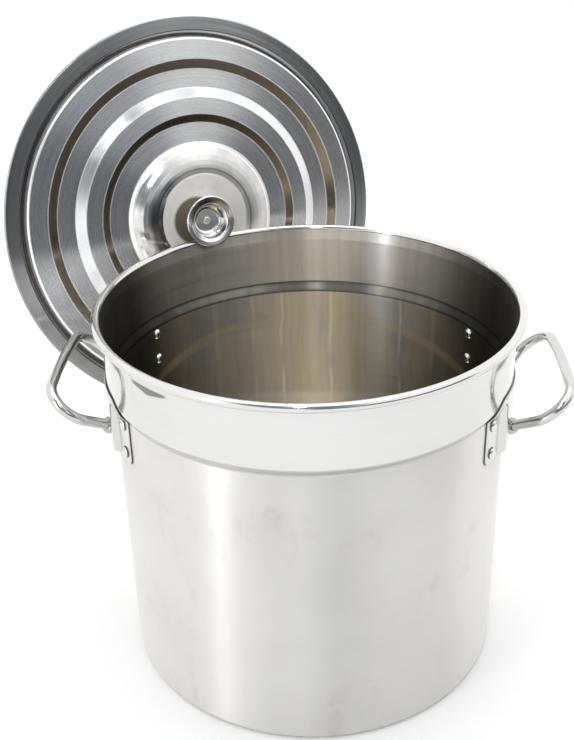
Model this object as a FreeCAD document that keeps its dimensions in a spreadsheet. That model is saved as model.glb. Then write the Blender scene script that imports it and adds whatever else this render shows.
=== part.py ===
import FreeCAD, Part
import math
import os
import Sketcher

# Stainless brew kettle with a hung lid.  Millimetres, +Z up.
# Origin: on the kettle's axis, in the plane of the underside of its base.
# The two handles stand out along +X (right) and -X (left).

doc = FreeCAD.newDocument("brew_kettle")
sheet = doc.addObject("Spreadsheet::Sheet", "Dims")

# ---------------------------------------------------------------- dimensions
DIMENSIONS = [
    # kettle shell
    ("wall_sheet", 1.0), ("base_sheet", 1.2), ("body_outer", 170.0), ("collar_outer", 174.9),
    ("flare_outer", 176.1), ("bead_axis", 178.7), ("bead_tube", 3.6), ("bead_height", 331.4),
    ("step_low", 269.0), ("step_high", 275.5), ("flare_low", 321.5), ("base_corner", 6.5),
    ("step_round", 4.0), ("curl_end", -125.0),
    # pressed handle bracket
    ("ear_inner", 170.1), ("panel_inner", 175.0), ("bracket_sheet", 1.6),
    ("bracket_low", 224.5), ("bracket_top", 280.0), ("bracket_waist", 277.0), ("ear_top", 270.5),
    ("ear_bend_low", 266.8), ("ear_bend_high", 274.8),
    ("bracket_half_width", 92.5), ("bracket_foot_half", 85.5), ("shoulder_half", 78.0),
    ("ear_angle", 33.2), ("panel_angle", 23.0),
    # rivets
    ("rivet_shank", 2.5), ("rivet_head", 5.2), ("rivet_dome", 2.6), ("rivet_dome_inside", 2.8),
    ("rivet_upper", 261.2), ("rivet_lower", 235.4), ("rivet_angle", 29.5),
    # handle rod
    ("rod_radius", 4.6), ("handle_angle", 13.7), ("handle_height", 235.6), ("handle_tilt", 41.0),
    ("handle_splay", 38.0), ("handle_reach", 61.5), ("handle_corner", 23.0), ("handle_bow", 600.0),
    ("foot_radius", 7.6), ("foot_length", 4.2),
    # lid pressing, heights above the plane where its flange rests
    ("lid_sheet", 0.8), ("lid_edge", 190.0), ("lid_hem", 1.8),
    ("flange_inner", 177.0), ("flange_rise", 0.2), ("channel_outer", 173.4), ("channel_inner", 172.0),
    ("channel_depth", 4.4), ("shoulder_ring", 169.8), ("shoulder_rise", 2.4),
    ("flat_one_outer", 168.2), ("flat_one_rise", 3.2), ("flat_one_inner", 150.8), ("flat_one_top", 4.3),
    ("flat_two_outer", 141.4), ("flat_two_rise", 0.9), ("flat_two_inner", 124.6), ("flat_two_top", 2.0),
    ("flat_three_outer", 115.2), ("flat_three_rise", 6.6), ("flat_three_inner", 99.8), ("flat_three_top", 7.6),
    ("flat_four_outer", 91.9), ("flat_four_rise", 4.7), ("flat_four_inner", 73.5), ("flat_four_top", 5.8),
    ("riser_radius", 71.6), ("riser_rise", 8.0), ("ledge_radius", 69.4), ("ledge_rise", 9.1),
    ("dome_a_radius", 66.2), ("dome_a_rise", 11.2), ("dome_b_radius", 62.0), ("dome_b_rise", 13.3),
    ("dome_c_radius", 57.6), ("dome_c_rise", 14.9), ("dome_d_radius", 53.8), ("dome_d_rise", 15.8),
    ("dome_e_radius", 50.8), ("dome_e_rise", 16.2), ("crease_radius", 48.6), ("crease_rise", 16.36),
    ("plateau_radius", 46.0), ("plateau_rise", 16.4), ("screw_clear", 2.7),
    # knob
    ("spacer_radius", 13.6), ("spacer_thick", 2.6), ("knob_sheet", 1.2), ("knob_foot", 14.6),
    ("knob_neck", 15.6), ("knob_flare", 18.6), ("knob_lip", 24.6), ("knob_height", 16.3),
    ("knob_floor", 11.8), ("knob_ledge", 19.4), ("lip_roll", 1.3),
    ("screw_head", 4.4), ("screw_head_rise", 2.5), ("screw_shank", 2.5), ("screw_length", 15.0),
    ("washer_radius", 7.0), ("washer_thick", 1.2), ("nut_corner", 4.62), ("nut_thick", 4.0),
    # where the lid hangs: its flange-plane centre, the way its face looks, and how far it leans back
    ("lid_x", -112.15), ("lid_y", 171.8), ("lid_z", 346.2), ("lid_azimuth", -61.0), ("lid_lean", 10.4),
]
for row, (alias, value) in enumerate(DIMENSIONS, start=1):
    cell = "B%d" % row
    sheet.set("A%d" % row, alias)
    sheet.set(cell, repr(value))
    sheet.setAlias(cell, alias)
doc.recompute()
VALUES = dict(DIMENSIONS)


class Dim:
    """A sheet value together with the expression that gives it."""

    def __init__(self, value, text):
        self.value = float(value)
        self.text = text

    def __add__(self, other):
        o = as_dim(other)
        return Dim(self.value + o.value, "(%s + %s)" % (self.text, o.text))

    def __sub__(self, other):
        o = as_dim(other)
        return Dim(self.value - o.value, "(%s - %s)" % (self.text, o.text))

    def __mul__(self, other):
        o = as_dim(other)
        return Dim(self.value * o.value, "(%s * %s)" % (self.text, o.text))

    def __neg__(self):
        return Dim(-self.value, "(0 - %s)" % self.text)


def as_dim(x):
    if isinstance(x, Dim):
        return x
    return Dim(x, "(%.6f)" % x if x >= 0 else "(0 - %.6f)" % -x)


def D(alias):
    return Dim(VALUES[alias], "Dims." + alias)


def bind(obj, prop, dim):
    dim = as_dim(dim)
    setattr(obj, prop, dim.value)
    obj.setExpression(prop, dim.text)


def origin_plane(body, role):
    for feature in body.Origin.OriginFeatures:
        if feature.Role == role:
            return feature
    raise RuntimeError("no plane " + role)


def closed_outline(sk, points):
    """Closed run of straight edges whose corners are held by the sheet's dimensions."""
    n = len(points)
    geo = [Part.LineSegment(FreeCAD.Vector(points[i][0].value, points[i][1].value, 0),
                            FreeCAD.Vector(points[(i + 1) % n][0].value, points[(i + 1) % n][1].value, 0))
           for i in range(n)]
    sk.addGeometry(geo, False)
    cons = [Sketcher.Constraint("Coincident", i, 2, (i + 1) % n, 1) for i in range(n)]
    named = []
    for i, (x, y) in enumerate(points):
        for letter, dim, kind, axis in (("x", x, "DistanceX", -2), ("y", y, "DistanceY", -1)):
            if abs(dim.value) < 1e-9:
                cons.append(Sketcher.Constraint("PointOnObject", i, 1, axis))
            elif dim.value > 0:
                cons.append(Sketcher.Constraint(kind, -1, 1, i, 1, dim.value))
                named.append((len(cons) - 1, "v%d%s" % (i, letter), dim.text))
            else:
                cons.append(Sketcher.Constraint(kind, i, 1, -1, 1, -dim.value))
                named.append((len(cons) - 1, "v%d%s" % (i, letter), "0 - " + dim.text))
    sk.addConstraint(cons)
    for index, name, text in named:
        sk.renameConstraint(index, name)
    for index, name, text in named:
        sk.setExpression("Constraints." + name, text)


def turned_body(name, points, angle=360.0):
    """A body made by turning a closed outline (radius, height) about its own Z axis."""
    body = doc.addObject("PartDesign::Body", name)
    sk = body.newObject("Sketcher::SketchObject", name + "_outline")
    sk.AttachmentSupport = [(origin_plane(body, "XZ_Plane"), "")]
    sk.MapMode = "FlatFace"
    closed_outline(sk, [(as_dim(a), as_dim(b)) for a, b in points])
    doc.recompute()
    turn = body.newObject("PartDesign::Revolution", name + "_turned")
    turn.Profile = sk
    turn.ReferenceAxis = (sk, ["V_Axis"])
    turn.Angle = angle
    doc.recompute()
    sk.Visibility = False
    return body, turn


def ring_edges(feature, wanted, tol=0.05):
    """Names of the circular edges at the given (radius, height) places."""
    names = []
    for i, edge in enumerate(feature.Shape.Edges, start=1):
        curve = edge.Curve
        if not isinstance(curve, Part.Circle):
            continue
        for radius, height in wanted:
            if abs(curve.Radius - radius) < tol and abs(curve.Center.z - height) < tol:
                names.append("Edge%d" % i)
                break
    return names


def rounded(body, base, name, wanted, dim):
    fil = body.newObject("PartDesign::Fillet", name)
    fil.Base = (base, ring_edges(base, wanted))
    bind(fil, "Radius", dim)
    doc.recompute()
    return fil


# ---------------------------------------------------------------- kettle shell
body_ri = D("body_outer") - D("wall_sheet")
collar_ri = D("collar_outer") - D("wall_sheet")
flare_ri = D("flare_outer") - D("wall_sheet")
shell_body, shell_turned = turned_body("kettle_wall", [
    (0, 0), (D("body_outer"), 0), (D("body_outer"), D("step_low")), (D("collar_outer"), D("step_high")),
    (D("collar_outer"), D("flare_low")), (D("flare_outer"), D("bead_height")),
    (flare_ri, D("bead_height")), (collar_ri, D("flare_low")), (collar_ri, D("step_high")),
    (body_ri, D("step_low")), (body_ri, D("base_sheet")), (0, D("base_sheet")),
])
tip = rounded(shell_body, shell_turned, "base_corner_outside", [(170.0, 0.0)], D("base_corner"))
tip = rounded(shell_body, tip, "base_corner_inside", [(169.0, 1.2)], D("base_corner") - D("base_sheet"))
tip = rounded(shell_body, tip, "step_soft", [(170.0, 269.0), (174.9, 275.5), (169.0, 269.0), (173.9, 275.5)],
              D("step_round"))
# the rim is rolled outward and down into an open curl
curl_sk = shell_body.newObject("Sketcher::SketchObject", "rim_curl_outline")
curl_sk.AttachmentSupport = [(origin_plane(shell_body, "XZ_Plane"), "")]
curl_sk.MapMode = "FlatFace"
curl_centre = FreeCAD.Vector(VALUES["bead_axis"], VALUES["bead_height"], 0)
curl_from, curl_to = math.radians(VALUES["curl_end"]), math.pi
curl_radii = (VALUES["bead_tube"], VALUES["bead_tube"] - VALUES["wall_sheet"])
arcs = [Part.ArcOfCircle(Part.Circle(curl_centre, FreeCAD.Vector(0, 0, 1), r), curl_from, curl_to)
        for r in curl_radii]


def curl_point(r, angle):
    return curl_centre + FreeCAD.Vector(r * math.cos(angle), r * math.sin(angle), 0)


lines = [Part.LineSegment(curl_point(curl_radii[0], t), curl_point(curl_radii[1], t)) for t in (curl_from, curl_to)]
curl_sk.addGeometry(arcs + lines, False)
curl_sk.addConstraint([
    Sketcher.Constraint("Coincident", 0, 1, 2, 1), Sketcher.Constraint("Coincident", 2, 2, 1, 1),
    Sketcher.Constraint("Coincident", 0, 2, 3, 1), Sketcher.Constraint("Coincident", 3, 2, 1, 2),
    Sketcher.Constraint("Coincident", 0, 3, 1, 3),
    Sketcher.Constraint("DistanceX", -1, 1, 0, 3, curl_centre.x),
    Sketcher.Constraint("DistanceY", -1, 1, 0, 3, curl_centre.y),
    Sketcher.Constraint("Radius", 0, curl_radii[0]), Sketcher.Constraint("Radius", 1, curl_radii[1]),
])
for index, text in ((5, "Dims.bead_axis"), (6, "Dims.bead_height"), (7, "Dims.bead_tube"),
                    (8, "Dims.bead_tube - Dims.wall_sheet")):
    curl_sk.renameConstraint(index, "c%d" % index)
    curl_sk.setExpression("Constraints.c%d" % index, text)
doc.recompute()
volume_before = tip.Shape.Volume
hollow = shell_body.newObject("PartDesign::Revolution", "rim_curl")
hollow.Profile = curl_sk
hollow.ReferenceAxis = (curl_sk, ["V_Axis"])
hollow.Angle = 360.0
doc.recompute()
gain = hollow.Shape.Volume - volume_before
if not 8000 < gain < 20000:
    raise RuntimeError("rim curl has the wrong size: %.1f" % gain)
shell_body.Tip = hollow


def polar(radius, angle_deg, z):
    a = math.radians(angle_deg)
    return FreeCAD.Vector(radius * math.cos(a), radius * math.sin(a), z)


def outward(angle_deg):
    """Rotation that turns local +Z to the outward radial direction at an angle."""
    a = math.radians(angle_deg)
    return FreeCAD.Rotation(FreeCAD.Vector(0, 0, 1), FreeCAD.Vector(math.cos(a), math.sin(a), 0))


SIDES = (("left", 180.0), ("right", 0.0))
rivet_places = {}
for side, mid in SIDES:
    # the front is -Y
    sgn = -1.0 if side == "right" else 1.0
    rivet_places[side + "_front"] = mid + sgn * VALUES["rivet_angle"]
    rivet_places[side + "_rear"] = mid - sgn * VALUES["rivet_angle"]

# bores through wall and bracket for the rivets' shanks
bore_list = []
for name in sorted(rivet_places):
    for level in ("rivet_upper", "rivet_lower"):
        bore = doc.addObject("Part::Cylinder", "bore_%s_%s" % (name, level[6:]))
        bind(bore, "Radius", D("rivet_shank"))
        bore.Height = 24.0
        bore.Placement = FreeCAD.Placement(polar(160.0, rivet_places[name], VALUES[level]), outward(rivet_places[name]))
        bore.setExpression("Placement.Base.z", "Dims." + level)
        bore_list.append(bore)
bores = doc.addObject("Part::MultiFuse", "rivet_bores")
bores.Shapes = bore_list
doc.recompute()

kettle = doc.addObject("Part::Cut", "kettle_shell_cut")
kettle.Base = shell_body
kettle.Tool = bores
kettle.Label = "pot_shell"
doc.recompute()


# ---------------------------------------------------------------- handle brackets
def ring_sector(name, inner, outer, low, high, half_angle, mid):
    """Part of a cylindrical sheet between two heights, centred on an angle."""
    big = doc.addObject("Part::Cylinder", name + "_outer")
    bind(big, "Radius", outer)
    bind(big, "Height", high - low)
    big.Angle = 2 * half_angle
    big.Placement = FreeCAD.Placement(FreeCAD.Vector(0, 0, low.value),
                                      FreeCAD.Rotation(FreeCAD.Vector(0, 0, 1), mid - half_angle))
    big.setExpression("Placement.Base.z", low.text)
    small = doc.addObject("Part::Cylinder", name + "_inner")
    bind(small, "Radius", inner)
    small.Height = 400.0
    cut = doc.addObject("Part::Cut", name)
    cut.Base = big
    cut.Tool = small
    return cut


def cone_sector(name, r_low, r_high, thick, low, high, mid_angle, half_angle):
    """Sloping sheet that carries the ear over the kettle's step."""
    cones = []
    for label, extra in (("_outer", thick), ("_inner", as_dim(0.0))):
        cone = doc.addObject("Part::Cone", name + label)
        bind(cone, "Radius1", r_low + extra)
        bind(cone, "Radius2", r_high + extra)
        bind(cone, "Height", high - low)
        cone.Angle = 2 * half_angle if label == "_outer" else 360.0
        cone.Placement = FreeCAD.Placement(
            FreeCAD.Vector(0, 0, low.value),
            FreeCAD.Rotation(FreeCAD.Vector(0, 0, 1), (mid_angle - half_angle) if label == "_outer" else 0.0))
        cone.setExpression("Placement.Base.z", low.text)
        cones.append(cone)
    cut = doc.addObject("Part::Cut", name)
    cut.Base, cut.Tool = cones
    return cut


panel_outer = D("panel_inner") + D("bracket_sheet")
ear_outer = D("ear_inner") + D("bracket_sheet")


def bracket(side, mid):
    panel_half = VALUES["panel_angle"]
    ear_half = VALUES["ear_angle"]
    ear_span = (ear_half - panel_half) / 2 + 0.25
    pieces = [
        # raised middle that carries the rod
        ring_sector(side + "_panel", D("panel_inner"), panel_outer, D("bracket_low"), D("bracket_top"), panel_half, mid),
        # band that lies on the collar
        ring_sector(side + "_band", D("panel_inner"), panel_outer, D("ear_bend_high"), D("bracket_top"), ear_half, mid),
    ]
    for tag, sgn in (("a", 1.0), ("b", -1.0)):
        centre = mid + sgn * (ear_half - ear_span)
        pieces.append(ring_sector("%s_ear_%s" % (side, tag), D("ear_inner"), ear_outer,
                                  D("bracket_low"), D("ear_bend_low"), ear_span, centre))
        pieces.append(cone_sector("%s_bend_%s" % (side, tag), D("ear_inner"), D("panel_inner"), D("bracket_sheet"),
                                  D("ear_bend_low"), D("ear_bend_high"), centre, ear_span))
        # offset between the ear and the raised middle
        jog = doc.addObject("Part::Box", "%s_jog_%s" % (side, tag))
        bind(jog, "Length", panel_outer - D("ear_inner"))
        bind(jog, "Width", D("bracket_sheet"))
        bind(jog, "Height", D("ear_bend_high") - D("bracket_low"))
        ang = mid + sgn * panel_half
        rot = FreeCAD.Rotation(FreeCAD.Vector(0, 0, 1), ang)
        off = rot.multVec(FreeCAD.Vector(0, -VALUES["bracket_sheet"] / 2, 0))
        jog.Placement = FreeCAD.Placement(polar(VALUES["ear_inner"], ang, VALUES["bracket_low"]) + off, rot)
        jog.setExpression("Placement.Base.z", "Dims.bracket_low")
        slope = doc.addObject("Part::Cone", "%s_jog_slope_%s" % (side, tag))
        bind(slope, "Radius1", D("ear_inner"))
        bind(slope, "Radius2", D("panel_inner"))
        bind(slope, "Height", D("ear_bend_high") - D("ear_bend_low"))
        slope.Placement.Base.z = VALUES["ear_bend_low"]
        slope.setExpression("Placement.Base.z", "Dims.ear_bend_low")
        jog_cut = doc.addObject("Part::Cut", "%s_jog_cut_%s" % (side, tag))
        jog_cut.Base, jog_cut.Tool = jog, slope
        pieces.append(jog_cut)
    blank = doc.addObject("Part::MultiFuse", side + "_bracket_blank")
    blank.Shapes = pieces
    # the outline it is cut to, seen along X
    sk = doc.addObject("Sketcher::SketchObject", side + "_bracket_outline")
    sk.Placement = FreeCAD.Placement(FreeCAD.Vector(0, 0, 0), FreeCAD.Rotation(
        FreeCAD.Vector(0, 1, 0), FreeCAD.Vector(0, 0, 1), FreeCAD.Vector(1, 0, 0), "ZXY"))
    hw, fh, sh = D("bracket_half_width"), D("bracket_foot_half"), D("shoulder_half")
    low, top, waist, ear = D("bracket_low"), D("bracket_top"), D("bracket_waist"), D("ear_top")
    pts = [(-fh, low), (fh, low), (hw - 1.5, low + 3.0), (hw, low + 8.0), (hw, ear), (hw - 3.0, ear + 3.5),
           (sh, top - 1.2), (sh - 6.0, top), (as_dim(30.0), waist), (as_dim(-30.0), waist),
           (-(sh - 6.0), top), (-sh, top - 1.2), (-(hw - 3.0), ear + 3.5), (-hw, ear), (-hw, low + 8.0),
           (-(hw - 1.5), low + 3.0)]
    closed_outline(sk, [(as_dim(a), as_dim(b)) for a, b in pts])
    doc.recompute()
    prism = doc.addObject("Part::Extrusion", side + "_bracket_prism")
    prism.Base = sk
    prism.DirMode = "Custom"
    prism.Dir = FreeCAD.Vector(1, 0, 0) if side == "right" else FreeCAD.Vector(-1, 0, 0)
    prism.LengthFwd = 190.0
    prism.Solid = True
    trimmed = doc.addObject("Part::MultiCommon", side + "_bracket_trim")
    trimmed.Shapes = [blank, prism]
    out = doc.addObject("Part::Cut", side + "_bracket_cut")
    out.Base = trimmed
    out.Tool = bores
    out.Label = side + "_bracket"
    doc.recompute()
    return out


brackets = [bracket(side, mid) for side, mid in SIDES]


# ---------------------------------------------------------------- handle rods
def leg_frame(side, tag):
    """Foot point of a leg on the bracket's outer face, and its outward direction."""
    mirror = 1.0 if side == "right" else -1.0
    sgn = -1.0 if tag == "front" else 1.0
    a = math.radians(VALUES["handle_angle"])
    tilt = math.radians(VALUES["handle_tilt"])
    splay = math.radians(VALUES["handle_splay"])
    foot = FreeCAD.Vector(mirror * panel_outer.value * math.cos(a), sgn * panel_outer.value * math.sin(a),
                          VALUES["handle_height"])
    direction = FreeCAD.Vector(mirror * math.cos(splay) * math.cos(tilt), sgn * math.sin(splay),
                               math.cos(splay) * math.sin(tilt))
    return foot, direction


def loop_wire(side):
    """Centre line of the rod: leg, corner, bowed grip, corner, leg, all tangent."""
    mirror = 1.0 if side == "right" else -1.0
    a = math.radians(VALUES["handle_angle"])
    tilt = math.radians(VALUES["handle_tilt"])
    s = math.radians(VALUES["handle_splay"])
    q_foot = panel_outer.value * math.sin(a)
    reach, rc, rb = VALUES["handle_reach"], VALUES["handle_corner"], VALUES["handle_bow"]
    centre_p = reach - rb
    # corner centre = foot + lam*(cos s, sin s) + rc*(sin s, -cos s), at distance rb-rc from the grip's centre
    fx, fy = rc * math.sin(s) - centre_p, q_foot - rc * math.cos(s)
    bq = fx * math.cos(s) + fy * math.sin(s)
    cq = fx * fx + fy * fy - (rb - rc) ** 2
    lam = -bq + math.sqrt(bq * bq - cq)
    start = -6.0

    def plane_point(p, q):
        x = panel_outer.value * math.cos(a) + p * math.cos(tilt)
        return FreeCAD.Vector(mirror * x, q, VALUES["handle_height"] + p * math.sin(tilt))

    ccx, ccy = lam * math.cos(s) + rc * math.sin(s), q_foot + lam * math.sin(s) - rc * math.cos(s)
    t1 = (lam * math.cos(s), q_foot + lam * math.sin(s))
    d = math.hypot(ccx - centre_p, ccy)
    ux, uy = (ccx - centre_p) / d, ccy / d
    t2 = (centre_p + rb * ux, rb * uy)
    m1 = math.atan2(t1[1] - ccy, t1[0] - ccx)
    m2 = math.atan2(uy, ux)
    mm = (m1 + m2) / 2
    tm = (ccx + rc * math.cos(mm), ccy + rc * math.sin(mm))
    b0 = (start * math.cos(s), q_foot + start * math.sin(s))
    edges = [
        Part.LineSegment(plane_point(b0[0], -b0[1]), plane_point(t1[0], -t1[1])).toShape(),
        Part.Arc(plane_point(t1[0], -t1[1]), plane_point(tm[0], -tm[1]), plane_point(t2[0], -t2[1])).toShape(),
        Part.Arc(plane_point(t2[0], -t2[1]), plane_point(reach, 0.0), plane_point(t2[0], t2[1])).toShape(),
        Part.Arc(plane_point(t2[0], t2[1]), plane_point(tm[0], tm[1]), plane_point(t1[0], t1[1])).toShape(),
        Part.LineSegment(plane_point(t1[0], t1[1]), plane_point(b0[0], b0[1])).toShape(),
    ]
    return Part.Wire(edges)


for side, mid in SIDES:
    path = loop_wire(side)
    spine = doc.addObject("Part::Feature", side + "_rod_line")
    spine.Shape = path
    first = path.Edges[0]
    p0 = first.valueAt(first.FirstParameter)
    tangent = first.tangentAt(first.FirstParameter)
    ring = doc.addObject("Part::Circle", side + "_rod_section")
    bind(ring, "Radius", D("rod_radius"))
    ring.Placement = FreeCAD.Placement(p0, FreeCAD.Rotation(FreeCAD.Vector(0, 0, 1), tangent))
    doc.recompute()
    sweep = doc.addObject("Part::Sweep", side + "_rod_sweep")
    sweep.Sections = [ring]
    sweep.Spine = (spine, ["Edge%d" % (i + 1) for i in range(len(path.Edges))])
    sweep.Solid = True
    sweep.Frenet = False
    doc.recompute()
    expected = math.pi * VALUES["rod_radius"] ** 2 * path.Length
    print(side, "rod volume / section times length", round(sweep.Shape.Volume / expected, 4))
    core = doc.addObject("Part::Cylinder", side + "_rod_fit")
    bind(core, "Radius", panel_outer)
    core.Height = 400.0
    rod = doc.addObject("Part::Cut", side + "_rod_cut")
    rod.Base = sweep
    rod.Tool = core
    rod.Label = side + "_handle"
    # upset collars round the rod's feet, welded to the bracket, one at each foot
    for tag in ("front", "rear"):
        foot, direction = leg_frame(side, tag)
        rot = FreeCAD.Rotation(FreeCAD.Vector(0, 0, 1), direction)
        big = doc.addObject("Part::Cone", "%s_%s_foot" % (side, tag))
        bind(big, "Radius1", D("foot_radius"))
        bind(big, "Radius2", D("foot_radius") - 1.6)
        bind(big, "Height", D("foot_length") + 6.0)
        big.Placement = FreeCAD.Placement(foot - direction * 6.0, rot)
        hole = doc.addObject("Part::Cylinder", "%s_%s_foot_bore" % (side, tag))
        bind(hole, "Radius", D("rod_radius"))
        hole.Height = 40.0
        hole.Placement = FreeCAD.Placement(foot - direction * 20.0, rot)
        ring_cut = doc.addObject("Part::Cut", "%s_%s_foot_ring" % (side, tag))
        ring_cut.Base, ring_cut.Tool = big, hole
        fit = doc.addObject("Part::Cylinder", "%s_%s_foot_fit" % (side, tag))
        bind(fit, "Radius", panel_outer)
        fit.Height = 400.0
        foot_cut = doc.addObject("Part::Cut", "%s_%s_foot_cut" % (side, tag))
        foot_cut.Base, foot_cut.Tool = ring_cut, fit
        foot_cut.Label = "%s_%s_collar" % (side, tag)
        doc.recompute()

# ---------------------------------------------------------------- rivets
for name in sorted(rivet_places):
    angle = rivet_places[name]
    solids = []
    for level in ("rivet_upper", "rivet_lower"):
        tag = "%s_%s" % (name, level[6:])
        seat_in = body_ri.value - 0.12
        seat_out = ear_outer.value + 0.02
        shank = doc.addObject("Part::Cylinder", tag + "_shank")
        bind(shank, "Radius", D("rivet_shank"))
        shank.Height = seat_out - seat_in + 0.2
        shank.Placement = FreeCAD.Placement(polar(seat_in - 0.1, angle, VALUES[level]), outward(angle))
        shank.setExpression("Placement.Base.z", "Dims." + level)
        outer = doc.addObject("Part::Ellipsoid", tag + "_head")
        bind(outer, "Radius1", D("rivet_dome"))
        bind(outer, "Radius2", D("rivet_head"))
        outer.Angle1 = 0.0
        outer.Angle2 = 90.0
        outer.Placement = FreeCAD.Placement(polar(seat_out, angle, VALUES[level]), outward(angle))
        outer.setExpression("Placement.Base.z", "Dims." + level)
        inner = doc.addObject("Part::Ellipsoid", tag + "_tail")
        bind(inner, "Radius1", D("rivet_dome_inside"))
        bind(inner, "Radius2", D("rivet_head"))
        inner.Angle1 = 0.0
        inner.Angle2 = 90.0
        inner.Placement = FreeCAD.Placement(polar(seat_in, angle, VALUES[level]), outward(angle + 180.0))
        inner.setExpression("Placement.Base.z", "Dims." + level)
        one = doc.addObject("Part::MultiFuse", tag)
        one.Shapes = [shank, outer, inner]
        solids.append(one)
    # the two rivets of one ear are alike and stay together as separate solids
    group = doc.addObject("Part::Compound", name + "_rivet_pair")
    group.Links = solids
    group.Label = name + "_rivets"
    doc.recompute()

# ---------------------------------------------------------------- lid, in its own frame, then hung on the rim
azimuth = math.radians(VALUES["lid_azimuth"])
lean = math.radians(VALUES["lid_lean"])
facing = FreeCAD.Vector(math.cos(azimuth) * math.cos(lean), math.sin(azimuth) * math.cos(lean), math.sin(lean))
upward = FreeCAD.Vector(-math.cos(azimuth) * math.sin(lean), -math.sin(azimuth) * math.sin(lean), math.cos(lean))
sideways = upward.cross(facing)
hang = FreeCAD.Placement(FreeCAD.Vector(VALUES["lid_x"], VALUES["lid_y"], VALUES["lid_z"]),
                         FreeCAD.Rotation(sideways, upward, facing, "ZYX"))
print("lid faces", facing, "slides along", upward)


def hang_up(obj):
    obj.Placement = hang
    obj.setExpression("Placement.Base.x", "Dims.lid_x")
    obj.setExpression("Placement.Base.y", "Dims.lid_y")
    obj.setExpression("Placement.Base.z", "Dims.lid_z")


top_line = [
    (D("lid_edge") - D("lid_hem"), as_dim(0.35)), (D("flange_inner"), D("flange_rise")),
    (D("channel_outer"), -D("channel_depth")), (D("channel_inner"), -D("channel_depth")),
    (D("shoulder_ring"), D("shoulder_rise")), (D("flat_one_outer"), D("flat_one_rise")),
    (D("flat_one_inner"), D("flat_one_top")), (D("flat_two_outer"), D("flat_two_rise")),
    (D("flat_two_inner"), D("flat_two_top")), (D("flat_three_outer"), D("flat_three_rise")),
    (D("flat_three_inner"), D("flat_three_top")), (D("flat_four_outer"), D("flat_four_rise")),
    (D("flat_four_inner"), D("flat_four_top")), (D("riser_radius"), D("riser_rise")),
    (D("ledge_radius"), D("ledge_rise")), (D("dome_a_radius"), D("dome_a_rise")),
    (D("dome_b_radius"), D("dome_b_rise")), (D("dome_c_radius"), D("dome_c_rise")),
    (D("dome_d_radius"), D("dome_d_rise")), (D("dome_e_radius"), D("dome_e_rise")),
    (D("crease_radius"), D("crease_rise")), (D("plateau_radius"), D("plateau_rise")),
    (D("screw_clear"), D("plateau_rise")),
]


def under_line(points, thick):
    """The same run, one sheet thickness below, mitred at each corner."""
    result = []
    n = len(points)
    for i in range(n):
        normals = []
        for j in (i - 1, i):
            if 0 <= j < n - 1:
                dx = points[j + 1][0].value - points[j][0].value
                dy = points[j + 1][1].value - points[j][1].value
                length = math.hypot(dx, dy)
                # the run goes inward, so its left-hand normal points down
                normals.append((-dy / length, dx / length))
        if len(normals) == 2:
            bx, by = normals[0][0] + normals[1][0], normals[0][1] + normals[1][1]
            k = 2.0 / (bx * bx + by * by)
            mx, my = bx * k, by * k
        else:
            mx, my = normals[0]
            if abs(mx) < 0.3:
                my = my / abs(my) * 1.0
                mx = 0.0
        result.append((points[i][0] + thick * mx, points[i][1] + thick * my))
    return result


lid_under = under_line(top_line, D("lid_sheet"))
lid_body, lid_turned = turned_body("lid_sheet_body", top_line + lid_under[::-1])
# the edge is rolled under into a small hem
hem = lid_body.newObject("PartDesign::AdditiveTorus", "lid_hem_roll")
bind(hem, "Radius1", D("lid_edge") - D("lid_hem"))
bind(hem, "Radius2", D("lid_hem"))
hem.Placement = FreeCAD.Placement(FreeCAD.Vector(0, 0, 0.35 - VALUES["lid_hem"]), FreeCAD.Rotation())
hem.setExpression("Placement.Base.z", "0.35 - Dims.lid_hem")
doc.recompute()
lid_body.Tip = hem
lid_body.Label = "lid_pressing"
hang_up(lid_body)

# ---------------------------------------------------------------- knob: spacer, dished knob, screw, washer, nut
seat = D("plateau_rise")
spacer_body, f = turned_body("knob_spacer_body", [
    (D("screw_clear"), seat), (D("spacer_radius"), seat), (D("spacer_radius"), seat + D("spacer_thick")),
    (D("screw_clear"), seat + D("spacer_thick"))])
spacer_body.Label = "knob_spacer"
hang_up(spacer_body)

kb = seat + D("spacer_thick")
kt = kb + D("knob_height") - D("spacer_thick")
ks = D("knob_sheet")
knob_body, f = turned_body("knob_body", [
    (D("screw_clear"), kb), (D("knob_foot") - 1.4, kb), (D("knob_foot"), kb + 0.9), (D("knob_neck"), kb + 4.6),
    (D("knob_neck") + 1.0, kb + 7.8), (D("knob_flare"), kt - 2.6), (D("knob_lip") - 0.8, kt - 2.1),
    (D("knob_lip"), kt - 1.3), (D("knob_lip") - 0.1, kt - 0.5), (D("knob_lip") - 0.9, kt), (D("knob_ledge") + 0.6, kt - 0.6),
    (D("knob_ledge") - 0.4, kt - 1.0), (D("knob_flare") - 1.3, kt - 1.5), (D("knob_neck") - 0.4, kb + 8.2),
    (D("knob_neck") - 1.3, kb + 4.8), (D("knob_floor") + 1.4, kb + ks + 0.9), (D("knob_floor"), kb + ks + 0.3),
    (D("knob_floor") - 1.2, kb + ks), (D("screw_clear"), kb + ks)])
knob_body.Label = "lid_knob"
hang_up(knob_body)

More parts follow.
